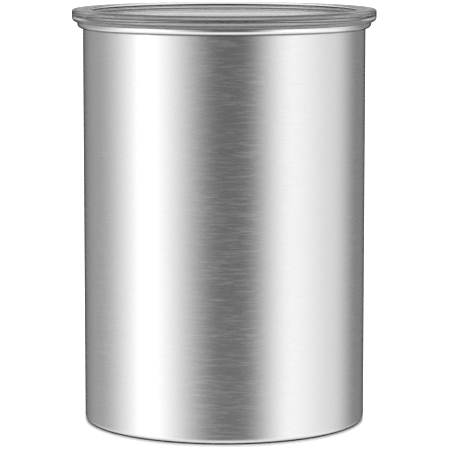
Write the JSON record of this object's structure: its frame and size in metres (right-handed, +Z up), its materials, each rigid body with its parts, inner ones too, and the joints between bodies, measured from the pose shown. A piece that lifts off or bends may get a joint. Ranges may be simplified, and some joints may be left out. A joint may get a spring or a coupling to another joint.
{
  "type": "vacuum seal canister",
  "caption": "Round brushed steel food canister with a clear lid and an inner plunger lid that pushes the air out past a vent valve worked by its folding handle.",
  "frame": {"origin": "centre of the standing ring, on the surface that the canister stands on", "axes": "+Z up along the canister's axis; the folded handle lies towards -Y, the side that faces the viewer"},
  "size_m": [0.1292, 0.1292, 0.176],
  "materials": {
    "brushed_steel": "fine horizontal brushing, clear of any mark",
    "clear_plastic": "clear, glossy, moulded",
    "clear_silicone": "milky translucent silicone",
    "plunger_plastic": "satin black moulded plastic",
    "grey_silicone": "matt grey silicone",
    "valve_plastic": "satin grey moulded plastic",
    "spring_steel": "bright drawn stainless wire",
    "handle_plastic": "satin dark moulded plastic"
  },
  "bodies": {
    "canister": {"canister_body": "brushed_steel"},
    "lid": {"outer_lid": "clear_plastic", "lid_gasket": "clear_silicone"},
    "plunger": {"plunger_base": "plunger_plastic", "plunger_dish": "plunger_plastic", "wiper_seal": "grey_silicone", "valve_spring": "spring_steel", "handle_pin": "spring_steel"},
    "valve": {"valve_stem": "valve_plastic", "valve_washer": "grey_silicone", "valve_button": "valve_plastic"},
    "handle": {"handle": "handle_plastic"}
  },
  "joints": [
    {"name": "lid_lift", "type": "slide", "parent": "canister", "child": "lid", "axis": [0, 0, 1], "range_m": [0, 0.06]},
    {"name": "plunger_slide", "type": "slide", "parent": "canister", "child": "plunger", "axis": [0, 0, 1], "range_m": [-0.0964, 0.004]},
    {"name": "handle_fold", "type": "hinge", "parent": "plunger", "child": "handle", "pos_m": [0, 0, 0.1241], "axis": [-1, 0, 0], "range_deg": [0, 90]},
    {"name": "valve_lift", "type": "slide", "parent": "plunger", "child": "valve", "axis": [0, 0, 1], "range_m": [0, 0.0024]}
  ],
  "couplings": [
    {"joint": "valve_lift", "follows": "handle_fold", "m_per_rad": 0.0015279}
  ]
}
